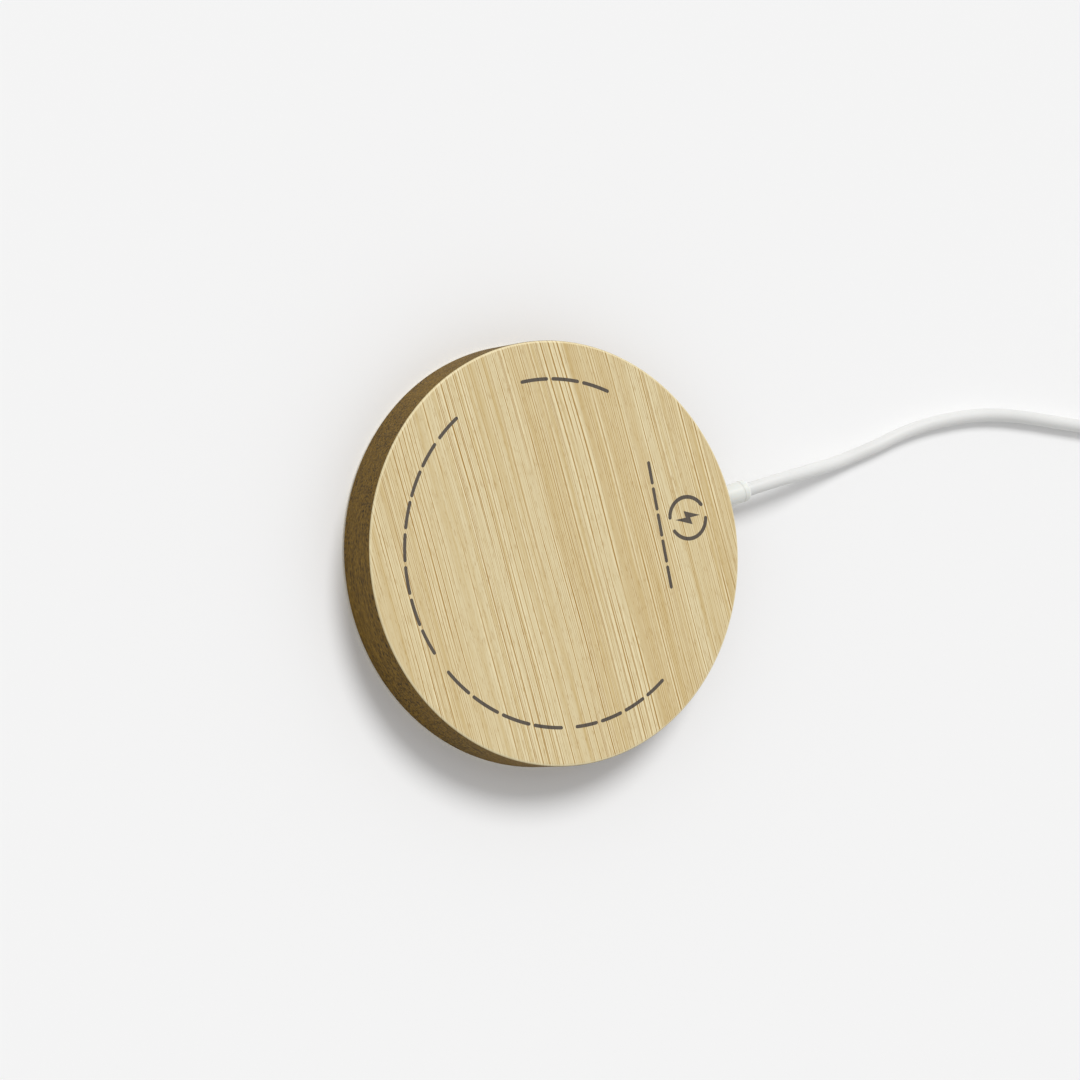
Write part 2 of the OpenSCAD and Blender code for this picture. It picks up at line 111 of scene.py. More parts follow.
class Nodes:
    """A material's node tree, with short calls for the nodes that this object's finishes use.

    Texture coordinates are in millimetres, so a stretch of 5 puts 5 steps in each millimetre."""

    def __init__(self, name):
        self.material = bpy.data.materials.new(name)
        self.material.use_nodes = True
        self.tree = self.material.node_tree
        self.shader = self.tree.nodes["Principled BSDF"]

    def new(self, kind, **fields):
        """A node of a kind, with its settings."""
        node = self.tree.nodes.new("ShaderNode" + kind)
        for key, value in fields.items():
            setattr(node, key, value)
        return node

    def put(self, value, socket):
        """Links an output to a socket, or sets the socket to a constant."""
        if isinstance(value, bpy.types.NodeSocket):
            self.tree.links.new(value, socket)
        else:
            socket.default_value = value

    def set(self, **sockets):
        """Sets the shader's sockets by name, with _ for a space."""
        for key, value in sockets.items():
            self.put(value, self.shader.inputs[key.replace("_", " ")])

    def math(self, operation, a, b=0.0, c=0.0, clamp=False):
        """One Math node; MULTIPLY_ADD gives a times b plus c."""
        node = self.new("Math", operation=operation, use_clamp=clamp)
        for i, value in enumerate((a, b, c)):
            self.put(value, node.inputs[i])
        return node.outputs[0]

    def times(self, *values):
        """The product of the values."""
        out = values[0]
        for value in values[1:]:
            out = self.math("MULTIPLY", out, value)
        return out

    def vector(self, operation, a, b=(0, 0, 0)):
        """One Vector Math node: a vector, or a number for the measures."""
        node = self.new("VectorMath", operation=operation)
        self.put(a, node.inputs[0])
        self.put(b, node.inputs[1])
        return node.outputs["Value" if operation in MEASURES else "Vector"]

    def stretch(self, vector, x, y, z):
        """The vector with its parts times x, y and z."""
        return self.vector("MULTIPLY", vector, (x, y, z))

    def split(self, vector):
        """The vector's x, y and z."""
        node = self.new("SeparateXYZ")
        self.put(vector, node.inputs[0])
        return node.outputs

    def join(self, x=0.0, y=0.0, z=0.0):
        """A vector from x, y and z."""
        node = self.new("CombineXYZ")
        for i, value in enumerate((x, y, z)):
            self.put(value, node.inputs[i])
        return node.outputs[0]

    def millimetres(self, turn=0.0):
        """The point on the object in millimetres, turned about Z by some degrees."""
        turned = self.new("VectorRotate", rotation_type="Z_AXIS")
        self.put(self.new("TexCoord").outputs["Object"], turned.inputs["Vector"])
        turned.inputs["Angle"].default_value = math.radians(turn)
        return self.stretch(turned.outputs[0], 1 / MM, 1 / MM, 1 / MM)

    def noise(self, vector, detail=2.0, roughness=0.5):
        """Soft noise of about unit size, from 0 to 1."""
        node = self.new("TexNoise")
        self.put(vector, node.inputs["Vector"])
        node.inputs["Scale"].default_value = 1
        node.inputs["Detail"].default_value = detail
        node.inputs["Roughness"].default_value = roughness
        return node.outputs["Fac"]

    def cells(self, place, dimensions="3D"):
        """Voronoi cells of about unit size: the distance in them, and a random number for each."""
        node = self.new("TexVoronoi", voronoi_dimensions=dimensions)
        self.put(place, node.inputs["W" if dimensions == "1D" else "Vector"])
        node.inputs["Scale"].default_value = 1
        part = self.new("SeparateColor")
        self.put(node.outputs["Color"], part.inputs[0])
        return node.outputs["Distance"], part.outputs[0]

    def ramp(self, value, low, high):
        """0 at low, 1 at high, eased at both ends."""
        node = self.new("MapRange", interpolation_type="SMOOTHSTEP")
        self.put(value, node.inputs["Value"])
        node.inputs["From Min"].default_value = low
        node.inputs["From Max"].default_value = high
        return node.outputs["Result"]

    def mix(self, factor, a, b):
        """The colour a at factor 0 and b at 1; 6, 7 and 2 are the node's sockets for colours."""
        node = self.new("Mix", data_type="RGBA")
        self.put(factor, node.inputs[0])
        self.put(a, node.inputs[6])
        self.put(b, node.inputs[7])
        return node.outputs[2]

    def soften(self, weight, reach):
        """Lets light into the surface by some millimetres."""
        self.shader.inputs["Subsurface Weight"].default_value = weight
        self.shader.inputs["Subsurface Scale"].default_value = reach * MM
        self.shader.inputs["Subsurface Radius"].default_value = (1.0, 0.9, 0.8)

    def bump(self, height, distance):
        """Normal from a height, whose full step is some millimetres deep."""
        node = self.new("Bump")
        node.inputs["Distance"].default_value = distance * MM
        self.put(height, node.inputs["Height"])
        return node.outputs["Normal"]


# The grain runs nearly across the cord's way out, and one node of the cane shows on the side
GRAIN_TURN = -0.3
GRAIN_SWAY = 1.6
BAMBOO_GLOSS = 0.2
STRIP_W = 5.2

# The knot's middle, its outer and inner radius, and how its rings curl
KNOT_AT = (-21.5, -25.2, 4.5)
KNOT_OUTER = 5.2
KNOT_INNER = 1.5
KNOT_WARP = 26.0
KNOT_RINGS = 5.5

# Pitch, half width, strength and seed of the long lines on the faces
FIBRE_LINES = ((2.0, 0.16, 0.95, 7.3), (0.95, 0.11, 0.75, 31.7), (0.5, 0.08, 0.5, 57.1))

# How far apart the lines' own noises lie, and the steps per millimetre along and across the lines
LINE_APART = 91.0
LINE_STEP = 0.035
CROWD_STEP = 0.14

# Steps per millimetre of the textures: across the grain, along it, and up
SWAY = (0.05, 0.02, 0.05)
BAND = (0.9, 0.012, 0.3)
FIBRES = (7, 0.25, 7)
PORES = (5.5, 0.75, 5.5)
BUNDLES = (3.4, 0.9, 3.4)
BUNDLE_ZONES = (0.16, 0.05, 0.12)
STREAKS = (1.5, 0.07, 2.4)
FLECKS = (5, 1.1, 5)
KNOT_CURLS = (0.45, 0.35, 0.7)

# The brightest face colour serves both as paler wood and as painted highlight
FACE_PALE, FACE_MID, FACE_TAN, FACE_DARK, FACE_PALE_AND_HIGHLIGHT = (rgb(*c) for c in (
    (226, 210, 168), (213, 190, 141), (200, 171, 110), (166, 125, 54), (248, 235, 194)))
# The milled side's colours: browner end grain, made darker still by painted shade, the same all round
WALL_PALE_SHADED, WALL_MID_SHADED, WALL_TONE_SHADED, WALL_FLECK_SHADED, WALL_DASH = (rgb(*c) for c in (
    (131, 101, 34), (101, 75, 21), (87, 63, 16), (162, 130, 57), (38, 26, 6)))
KNOT_DARK, KNOT_PALE = rgb(70, 51, 17), rgb(134, 107, 44)


def along_grain(m):
    """The point in millimetres with Y along the grain, which sways a little."""
    point = m.millimetres(turn=GRAIN_TURN)
    sway = m.noise(m.stretch(point, *SWAY), detail=1)
    return m.vector("ADD", point, m.join(m.math("MULTIPLY_ADD", sway, GRAIN_SWAY, -GRAIN_SWAY / 2)))


def fibre_lines(m, point, pitch, half_width, seed):
    """Long lines that come and go along the grain: each line, and the ground close beside it."""
    across, along, up = m.split(point)
    distance, which = m.cells(m.math("MULTIPLY_ADD", across, 1 / pitch, seed), "1D")
    distance = m.times(distance, pitch)
    own = m.math("MULTIPLY_ADD", which, LINE_APART, seed)
    shown = m.noise(m.join(own, m.times(along, LINE_STEP), m.times(up, LINE_STEP)), detail=2)
    crowd = m.noise(m.join(m.math("MULTIPLY_ADD", across, CROWD_STEP, seed)), detail=1)
    shown = m.times(m.ramp(shown, 0.37, 0.58), m.math("ADD", 0.3, m.ramp(crowd, 0.35, 0.6)))
    line = m.times(m.ramp(distance, half_width, half_width * 0.3), shown)
    beside = m.times(m.ramp(distance, half_width * 3.4, half_width * 1.2), shown)
    return line, m.math("SUBTRACT", beside, line, clamp=True)


def strip_tone(m, point):
    """A random number for each of the glued strips of unequal width."""
    return m.cells(m.times(m.split(point)[0], 1 / STRIP_W), "1D")[1]


def bamboo_face(m, point, tone, fibres, pores):
    """Colour of the faces, and how strong the dark lines are."""
    band = m.noise(m.stretch(point, *BAND), detail=2)
    colour = m.mix(tone, FACE_PALE, FACE_MID)
    colour = m.mix(m.times(m.ramp(band, 0.45, 0.75), 0.8), colour, FACE_TAN)
    colour = m.mix(m.times(m.ramp(band, 0.48, 0.28), 0.6), colour, FACE_PALE)
    marks = 0.0
    for pitch, half_width, strength, seed in FIBRE_LINES:
        line, beside = fibre_lines(m, point, pitch, half_width, seed)
        line = m.times(line, strength)
        # Beside each line the ground is lighter: partly paler wood round the fibres, partly a painted
        # highlight along the groove
        colour = m.mix(m.times(beside, strength * 0.7), colour, FACE_PALE_AND_HIGHLIGHT)
        colour = m.mix(line, colour, FACE_DARK)
        marks = m.math("ADD", marks, line)
    colour = m.mix(m.times(m.ramp(fibres, 0.45, 0.75), 0.4), colour, FACE_TAN)
    return m.mix(m.times(pores, 0.35), colour, FACE_DARK), marks


def shaded_bamboo_wall(m, point, tone):
    """Colour of the milled side, darkened by painted shade, with the ends of the fibre bundles as dashes,
    and their strength.
    """
    distance, which = m.cells(m.stretch(point, *BUNDLES))
    dash = m.times(m.ramp(distance, 0.52, 0.24), m.ramp(which, -0.2, 0.6))
    zone = m.noise(m.stretch(point, *BUNDLE_ZONES), detail=1)
    dash = m.times(dash, m.math("ADD", 0.45, m.times(m.ramp(zone, 0.38, 0.6), 0.55)))
    streak = m.noise(m.stretch(point, *STREAKS), detail=3, roughness=0.6)
    fleck = m.noise(m.stretch(point, *FLECKS), detail=3, roughness=0.65)
    wall = m.mix(m.ramp(streak, 0.35, 0.68), WALL_PALE_SHADED, WALL_MID_SHADED)
    wall = m.mix(m.times(tone, 0.35), wall, WALL_TONE_SHADED)
    wall = m.mix(m.times(m.ramp(fleck, 0.52, 0.7), 0.6), wall, WALL_FLECK_SHADED)
    wall = m.mix(dash, wall, WALL_DASH)
    from_knot = m.vector("DISTANCE", m.millimetres(), KNOT_AT)
    warp = m.noise(m.stretch(point, *KNOT_CURLS), detail=1)
    curl = m.math("SINE", m.math("MULTIPLY_ADD", warp, KNOT_WARP, m.times(from_knot, KNOT_RINGS)))
    knot = m.mix(m.ramp(curl, -0.8, 0.8), KNOT_DARK, KNOT_PALE)
    near = m.ramp(from_knot, KNOT_OUTER, KNOT_INNER)
    return m.mix(m.times(near, 0.6), wall, knot), dash


def bamboo():
    """Laminated bamboo: pale lined faces, a darker milled side whose colours hold painted shade, and a
    painted highlight on the rounded edges.
    """
    m = Nodes("bamboo")
    point = along_grain(m)
    tone = strip_tone(m, point)
    fibres = m.noise(m.stretch(point, *FIBRES), detail=3, roughness=0.6)
    pores = m.ramp(m.noise(m.stretch(point, *PORES), detail=2), 0.56, 0.72)
    colour, marks = bamboo_face(m, point, tone, fibres, pores)
    wall, dash = shaded_bamboo_wall(m, point, tone)

    facing_up = m.math("ABSOLUTE", m.split(m.new("TexCoord").outputs["Normal"])[2])
    # Where the surface turns down it takes the milled side's colours, which hold painted shade
    side = m.ramp(facing_up, 0.80, 0.30)
    # Painted highlight: a pale line on the rounded rim, where the lamp catches it
    edge = m.times(m.ramp(facing_up, 0.995, 0.94), m.ramp(facing_up, 0.25, 0.65))
    colour = m.mix(side, colour, wall)
    colour = m.mix(m.times(edge, 0.5), colour, FACE_PALE_AND_HIGHLIGHT)

    relief = m.math("MULTIPLY_ADD", fibres, 0.4, 0.5)
    relief = m.math("SUBTRACT", relief, m.math("MULTIPLY_ADD", marks, 0.6, m.times(pores, 0.3)))
    relief = m.math("SUBTRACT", relief, m.times(side, dash))
    rough = m.math("MULTIPLY_ADD", fibres, 0.25, m.math("MULTIPLY_ADD", side, 0.2, 0.36))
    m.set(Base_Color=colour, Roughness=rough, Normal=m.bump(relief, 0.02))
    m.shader.inputs["Specular IOR Level"].default_value = BAMBOO_GLOSS
    return m.material


def print_ink():
    """A thin dark print that lets the bamboo's fibre lines show."""
    m = Nodes("print_ink")
    point = along_grain(m)
    fibres = m.noise(m.stretch(point, *FIBRES), detail=3, roughness=0.6)
    pitch, half_width, _, seed = FIBRE_LINES[1]
    line = fibre_lines(m, point, pitch, half_width, seed)[0]
    colour = m.mix(m.ramp(fibres, 0.3, 0.7), rgb(94, 84, 71), rgb(78, 69, 59))
    m.set(Base_Color=m.mix(m.times(line, 0.5), colour, rgb(54, 45, 36)),
          Roughness=m.math("MULTIPLY_ADD", fibres, 0.2, 0.45), Normal=m.bump(fibres, 0.01))
    return m.material


def moulded(name, colour, roughness=0.45, grain=6.0, depth=0.008, subsurface=0.0):
    """Moulded plastic or rubber: an even colour that drifts a little, and a fine spark grain."""
    m = Nodes(name)
    point = m.millimetres()
    drift = m.noise(m.stretch(point, 0.15, 0.15, 0.15))
    spark = m.noise(m.stretch(point, grain, grain, grain), detail=3, roughness=0.65)
    m.set(Base_Color=m.mix(m.ramp(drift, 0.3, 0.7), colour, shade(colour, 0.98)),
          Roughness=m.math("MULTIPLY_ADD", spark, 0.14, roughness - 0.07),
          Normal=m.bump(spark, depth))
    if subsurface:
        m.soften(subsurface, 0.6)
    return m.material


def metal(name, colour, roughness, brush, tarnish=0.8):
    """Plated or rolled metal with fine marks along its length and faint cloudy wear."""
    m = Nodes(name)
    point = m.millimetres()
    marks = m.noise(m.stretch(point, *brush), detail=3)
    cloud = m.noise(m.stretch(point, 0.5, 0.5, 0.5), detail=2)
    base = m.mix(m.ramp(marks, 0.3, 0.7), colour, shade(colour, 0.85))
    m.set(Base_Color=m.mix(m.ramp(cloud, 0.45, 0.8), base, shade(colour, tarnish)),
          Roughness=m.math("ADD", m.math("MULTIPLY_ADD", marks, 0.14, roughness), m.times(cloud, 0.08)),
          Normal=m.bump(marks, 0.003))
    m.shader.inputs["Metallic"].default_value = 1
    return m.material


def strap_fabric(name, colour):
    """Brushed nylon strap: a tight weave under a nap of short loops."""
    m = Nodes(name)
    point = m.millimetres()
    x, y, z = m.split(point)
    warp = m.math("SINE", m.times(m.math("ADD", x, z), 9.0))
    weft = m.math("SINE", m.times(m.math("SUBTRACT", y, z), 9.0))
    weave = m.times(warp, weft)
    nap = m.noise(m.stretch(point, 5, 5, 5), detail=4, roughness=0.75)
    height = m.math("ADD", m.times(weave, 0.25), nap)
    tone = m.mix(m.ramp(nap, 0.35, 0.65), shade(colour, 0.78), colour)
    m.set(Base_Color=tone, Roughness=m.math("MULTIPLY_ADD", nap, 0.2, 0.75),
          Normal=m.bump(height, 0.16))
    m.shader.inputs["Sheen Weight"].default_value = 0.35
    m.shader.inputs["Sheen Roughness"].default_value = 0.5
    return m.material


def film(name, colour):
    """Thin double-sided tape: fibres in a milky adhesive."""
    m = Nodes(name)
    point = m.millimetres(turn=30)
    fibres = m.noise(m.stretch(point, 9, 0.8, 2), detail=4, roughness=0.7)
    blotch = m.noise(m.stretch(point, 0.5, 0.5, 0.5), detail=2)
    base = m.mix(m.ramp(blotch, 0.35, 0.7), colour, shade(colour, 0.88))
    m.set(Base_Color=m.mix(m.times(m.ramp(fibres, 0.5, 0.75), 0.5), base, shade(colour, 1.15)),
          Roughness=m.math("MULTIPLY_ADD", fibres, 0.2, 0.3), Normal=m.bump(fibres, 0.01))
    return m.material


def foam(name, colour):
    """Closed-cell foam tape."""
    m = Nodes(name)
    point = m.millimetres()
    distance, which = m.cells(m.stretch(point, 5, 5, 5))
    wall = m.ramp(distance, 0.2, 0.6)
    m.set(Base_Color=m.mix(wall, colour, shade(colour, 2.2)),
          Roughness=m.math("MULTIPLY_ADD", which, 0.1, 0.85), Normal=m.bump(wall, 0.08))
    return m.material


def litz(name, colour):
    """Copper litz wire laid round the middle: fine enamelled strands that cross it at a slant."""
    m = Nodes(name)
    point = m.millimetres()
    x, y, z = m.split(point)
    radius = m.vector("LENGTH", m.join(x, y))
    arc = m.times(m.math("ARCTAN2", y, x), radius)
    phase = m.math("ADD", m.times(arc, 3.2), m.times(m.math("ADD", radius, z), 9.0))
    strand = m.math("MULTIPLY_ADD", m.math("SINE", phase), 0.5, 0.5)
    patina = m.noise(m.stretch(point, 0.7, 0.7, 0.7), detail=3)
    base = m.mix(m.ramp(patina, 0.35, 0.7), colour, rgb(150, 78, 44))
    # Darker between the strands: painted shade in the grooves between them
    m.set(Base_Color=m.mix(m.times(m.ramp(strand, 0.4, 0.0), 0.6), base, rgb(70, 32, 18)),
          Roughness=m.math("MULTIPLY_ADD", patina, 0.2, 0.25), Normal=m.bump(strand, 0.03))
    m.shader.inputs["Metallic"].default_value = 0.85
    return m.material


def sintered(name, colour):
    """Pressed and fired powder: dark, with tiny bright crystals."""
    m = Nodes(name)
    point = m.millimetres()
    grit = m.noise(m.stretch(point, 12, 12, 12), detail=3, roughness=0.7)
    distance, which = m.cells(m.stretch(point, 3.5, 3.5, 3.5))
    fleck = m.times(m.ramp(distance, 0.16, 0.06), m.ramp(which, 0.6, 0.9))
    base = m.mix(m.ramp(grit, 0.3, 0.7), colour, shade(colour, 1.5))
    m.set(Base_Color=m.mix(fleck, base, shade(colour, 5)),
          Roughness=m.math("MULTIPLY_ADD", grit, 0.2, 0.45), Normal=m.bump(grit, 0.01))
    return m.material


def circuit_lacquer(name, colour):
    """Solder mask over copper: the tracks show as a paler relief, and vias as small rings."""
    m = Nodes(name)
    point = m.millimetres()
    x, y = m.split(point)[:2]
    block = m.noise(m.stretch(point, 0.22, 0.22, 0), detail=0)
    lane = m.mix(m.ramp(block, 0.49, 0.51), m.join(x), m.join(y))
    lane = m.math("FRACT", m.times(m.split(lane)[0], 1.6))
    drawn = m.noise(m.stretch(point, 0.5, 0.5, 0), detail=0)
    track = m.times(m.ramp(m.math("ABSOLUTE", m.math("SUBTRACT", lane, 0.5)), 0.24, 0.18),
                    m.ramp(drawn, 0.44, 0.48))
    distance, which = m.cells(m.stretch(point, 0.55, 0.55, 0), "2D")
    via = m.times(m.ramp(distance, 0.14, 0.11), m.ramp(which, 0.4, 0.5))
    hole = m.times(m.ramp(distance, 0.07, 0.05), via)
    weave = m.noise(m.stretch(point, 6, 6, 6))
    colour_out = m.mix(m.times(track, 0.6), colour, shade(colour, 2.6))
    colour_out = m.mix(m.math("SUBTRACT", via, hole, clamp=True), colour_out, rgb(196, 172, 110))
    # The hole in each via is painted near black: painted shade inside the hole
    colour_out = m.mix(hole, colour_out, rgb(18, 22, 18))
    height = m.math("ADD", m.math("MAXIMUM", track, via), m.times(weave, 0.15))
    m.set(Base_Color=colour_out, Roughness=m.math("MULTIPLY_ADD", weave, 0.15, 0.22),
          Normal=m.bump(height, 0.02))
    return m.material


def ceramic(name, colour, tone=0.85):
    """Fired ceramic or moulded epoxy with a fine speckle."""
    m = Nodes(name)
    point = m.millimetres()
    speck = m.noise(m.stretch(point, 8, 8, 8), detail=3, roughness=0.7)
    m.set(Base_Color=m.mix(m.ramp(speck, 0.35, 0.65), colour, shade(colour, tone)),
          Roughness=m.math("MULTIPLY_ADD", speck, 0.15, 0.35), Normal=m.bump(speck, 0.005))
    return m.material


def insulation(name, colour):
    """Glossy extruded wire insulation with faint die lines."""
    m = Nodes(name)
    point = m.millimetres()
    lines = m.noise(m.stretch(point, 0.5, 9, 9), detail=2)
    m.set(Base_Color=m.mix(m.ramp(lines, 0.35, 0.7), colour, shade(colour, 0.8)),
          Roughness=m.math("MULTIPLY_ADD", lines, 0.15, 0.3), Normal=m.bump(lines, 0.006))
    return m.material


def cord_jacket(name, colour):
    """Soft extruded jacket: faint die lines, a little dust-dulled sheen, light through the edge."""
    m = Nodes(name)
    point = m.millimetres()
    drift = m.noise(m.stretch(point, 0.09, 0.09, 0.09), detail=2)
    lines = m.noise(m.stretch(point, 0.35, 5, 5), detail=2)
    grain = m.noise(m.stretch(point, 9, 9, 9), detail=2)
    base = m.mix(m.ramp(drift, 0.35, 0.7), colour, shade(colour, 0.95))
    m.set(Base_Color=m.mix(m.times(m.ramp(lines, 0.5, 0.75), 0.3), base, shade(colour, 0.9)),
          Roughness=m.math("MULTIPLY_ADD", grain, 0.18, 0.36),
          Normal=m.bump(m.math("ADD", m.times(lines, 0.7), m.times(grain, 0.3)), 0.02))
    m.soften(0.12, 0.5)
    return m.material


FINISH = {
    "bamboo": bamboo(),
    "cover_white": moulded("cover_white", rgb(238, 238, 235), 0.5),
    "grip_silicone": moulded("grip_silicone", rgb(214, 215, 214), 0.62, 9.0, 0.006, subsurface=0.15),
    "adhesive_film": film("adhesive_film", rgb(206, 200, 178)),
    "foam_black": foam("foam_black", rgb(30, 30, 31)),
    "copper_litz": litz("copper_litz", rgb(201, 116, 70)),
    "ferrite": sintered("ferrite", rgb(44, 44, 47)),
    "carrier_plastic": moulded("carrier_plastic", rgb(228, 224, 210), 0.5, 4.0, 0.01, subsurface=0.1),
    "magnet_nickel": metal("magnet_nickel", rgb(206, 206, 204), 0.14, (3, 3, 3)),
    "shunt_steel": metal("shunt_steel", rgb(176, 178, 182), 0.3, (9, 0.6, 9)),
    "screw_steel": metal("screw_steel", rgb(168, 168, 170), 0.25, (5, 5, 5), 0.6),
    "board_green": circuit_lacquer("board_green", rgb(16, 92, 52)),
    "chip_black": ceramic("chip_black", rgb(34, 34, 35), 1.6),
    "capacitor_tan": ceramic("capacitor_tan", rgb(184, 152, 108)),
    "chip_grey": ceramic("chip_grey", rgb(120, 120, 124), 0.75),
    "thermistor_bead": moulded("thermistor_bead", rgb(214, 120, 40), 0.2, 2.0, 0.01, subsurface=0.1),
    "wire_red": insulation("wire_red", rgb(190, 32, 30)),
    "wire_black": insulation("wire_black", rgb(28, 28, 29)),
    "wire_green": insulation("wire_green", rgb(34, 132, 62)),
    "wire_white": insulation("wire_white", rgb(232, 232, 230)),
    "cord_white": cord_jacket("cord_white", rgb(232, 232, 230)),
    "collar_white": moulded("collar_white", rgb(236, 238, 233), 0.34, 4.0, 0.01, subsurface=0.4),
    "crimp_metal": metal("crimp_metal", rgb(196, 196, 198), 0.3, (9, 1, 1)),
    "tie_grey": strap_fabric("tie_grey", rgb(206, 206, 206)),
    "plug_white": moulded("plug_white", rgb(234, 234, 232), 0.46, 7.0, 0.01),
    "plug_metal": metal("plug_metal", rgb(206, 206, 209), 0.18, (11, 0.6, 11)),
    "plug_black": moulded("plug_black", rgb(24, 24, 25), 0.5),
    "contact_gold": metal("contact_gold", rgb(226, 178, 92), 0.2, (11, 0.6, 11)),
    "print_ink": print_ink(),
}
NODE_SLOT = {part["node"]: part["material_slot"] for part in frame["record"]["subparts"]}

for node, piece in frame["nodes"].items():
    piece.data.materials.clear()
    piece.data.materials.append(FINISH[NODE_SLOT[node]])

# ---------------------------------------- making pieces

# Sides of a turned piece, degrees per step round a corner, the width of the narrow face beside a
# rounded corner that keeps its shading crisp, and the angle from which an edge is drawn sharp
WIDE_SEGMENTS = 256
SMALL_SEGMENTS = 64
ARC_STEP = 15
SUPPORT = 0.04
SHARP_ANGLE = 32


def box_mm(node):
    """Lowest and highest corner of a CAD node in millimetres."""
    low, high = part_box(node)
    return Vector(low) / MM, Vector(high) / MM


def dress(piece, slot, *nodes):
    """Gives a piece its finish, and makes it part of the one body in place of CAD nodes."""
    piece.data.materials.clear()
    piece.data.materials.append(FINISH[slot])
    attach(piece, "root")
    if nodes:
        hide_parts(*nodes)
    return piece


def add_object(name, data):
    """A new object in the scene."""
    piece = bpy.data.objects.new(name, data)
    bpy.context.scene.collection.objects.link(piece)
    return piece


def smooth(mesh):
    """Smooth shading, but for the sharp edges."""
    mesh.shade_smooth()
    mesh.set_sharp_from_angle(angle=math.radians(SHARP_ANGLE))


def finish_form(name, form, place=None):
    """Object from a mesh under construction in millimetres, put in place by a matrix."""
    bmesh.ops.recalc_face_normals(form, faces=form.faces)
    form.transform(Matrix.Scale(MM, 4) @ (place or Matrix()))
    mesh = bpy.data.meshes.new(name)
    form.to_mesh(mesh)
    form.free()
    smooth(mesh)
    return add_object(name, mesh)


# The four quarters of an outline, in turn
QUARTERS = ((1, 1), (-1, 1), (-1, -1), (1, -1))


def eased(share):
    """A share from 0 to 1 that starts and stops gently."""
    return share * share * (3 - 2 * share)


def rounded(corners):
    """Outline through corners of x, y and the radius that rounds each."""
    points = []
    for i, (x, y, radius) in enumerate(corners):
        here = Vector((x, y))
        if not radius:
            points.append(here)
            continue
        before = (Vector(corners[i - 1][:2]) - here).normalized()
        after = (Vector(corners[(i + 1) % len(corners)][:2]) - here).normalized()
        half = before.angle(after) / 2
        reach = radius / math.tan(half)
        centre = here + (before + after).normalized() * radius / math.sin(half)
        first = here + before * reach - centre
        last = here + after * reach - centre
        start = math.atan2(first.y, first.x)
        sweep = (math.atan2(last.y, last.x) - start + math.pi) % math.tau - math.pi
        steps = max(2, round(abs(math.degrees(sweep)) / ARC_STEP))
        points.append(here + before * (reach + SUPPORT))
        for k in range(steps + 1):
            angle = start + sweep * k / steps
            points.append(centre + radius * Vector((math.cos(angle), math.sin(angle))))
        points.append(here + after * (reach + SUPPORT))
    return points


def skin(form, rings, joined=False):
    """Faces between rings of points; a ring of one point closes the form."""
    pairs = list(zip(rings, rings[1:]))
    if joined:
        pairs.append((rings[-1], rings[0]))
    for a, b in pairs:
        for k in range(max(len(a), len(b))):
            corners = (a[k % len(a)], a[(k + 1) % len(a)], b[(k + 1) % len(b)], b[k % len(b)])
            form.faces.new(list(dict.fromkeys(corners)))


def rings_of(form, loops):
    """Rings of vertices at the points of the loops."""
    return [[form.verts.new(point) for point in loop] for loop in loops]


def lathe(name, outline, joined=False, place=None, segments=WIDE_SEGMENTS):
    """Piece turned round Z from an outline of radius and height; a joined outline leaves a hole."""
    loops = []
    for radius, height in outline:
        count = segments if radius > 0 else 1
        angles = [math.tau * k / count for k in range(count)]
        loops.append([(radius * math.cos(a), radius * math.sin(a), height) for a in angles])
    form = bmesh.new()
    skin(form, rings_of(form, loops), joined)
    return finish_form(name, form, place)


def cut(piece, cutters):
    """Takes the cutters out of the piece, and removes them."""
    for cutter in cutters:
        modifier = piece.modifiers.new("cut", "BOOLEAN")
        modifier.object = cutter
        modifier.solver = "EXACT"
    graph = bpy.context.evaluated_depsgraph_get()
    mesh = bpy.data.meshes.new_from_object(piece.evaluated_get(graph))
    piece.modifiers.clear()
    piece.data = mesh
    for cutter in cutters:
        bpy.data.objects.remove(cutter)
    smooth(mesh)


def cylinder_outline(radius, low, high):
    """Outline of a closed cylinder, to be turned."""
    return [Vector(q) for q in ((0, low), (radius, low), (radius, high), (0, high))]


# ---------------------------------------- cord

# Points of the cord's middle, as the design has them: from the collar to the winding, and from the
# winding to the plug
CORD_D = 2.2
CORD_STEPS = 4
CORD_SIDES = 6
ROUTE = [
    (39, 0, 4.5), (43, 0, 4.5), (48, -0.1, 4.1), (53, -0.3, 3), (58, -0.5, 1.8), (63, -0.3, 1.2),
    (68, 0.1, 1.12), (73, 0.7, 1.1), (78, 0.9, 1.1), (83, 0.6, 1.1), (88, 0, 1.1), (93.5, -1.3, 1.1),
    (99, -3.2, 1.1), (104, -5.2, 1.1), (109, -7.2, 1.1), (115, -9.5, 1.1), (122.5, -12, 1.1)]
END_ROUTE = [
    (148.4, 4, 7.3), (148.4, 8, 6), (148.5, 12, 4.2), (149.2, 16, 2.6), (151.2, 20, 1.5),
    (154.4, 22.7, 1.2), (158.5, 23.4, 1.12), (162.4, 21.7, 1.2), (165, 18, 1.8), (165.9, 14, 2.8),
    (166, 11, 3.2), (166, 8, 3.2)]

# The winding: its middle, mean radius, columns and layers; where it starts, its step, and the degrees
# over which the cord crosses to its next seat; where the strap squeezes it, how much and how far
WIND_C = (134, 0)
WIND_R = 12.2
WIND_COLUMNS = 3
WIND_ROWS = 4
WIND_FROM = -105
WIND_STEP = 15
WIND_CROSSING = 50
TIE_AT = 95
TIE_SQUEEZE = 0.13
TIE_SPREAD = 30


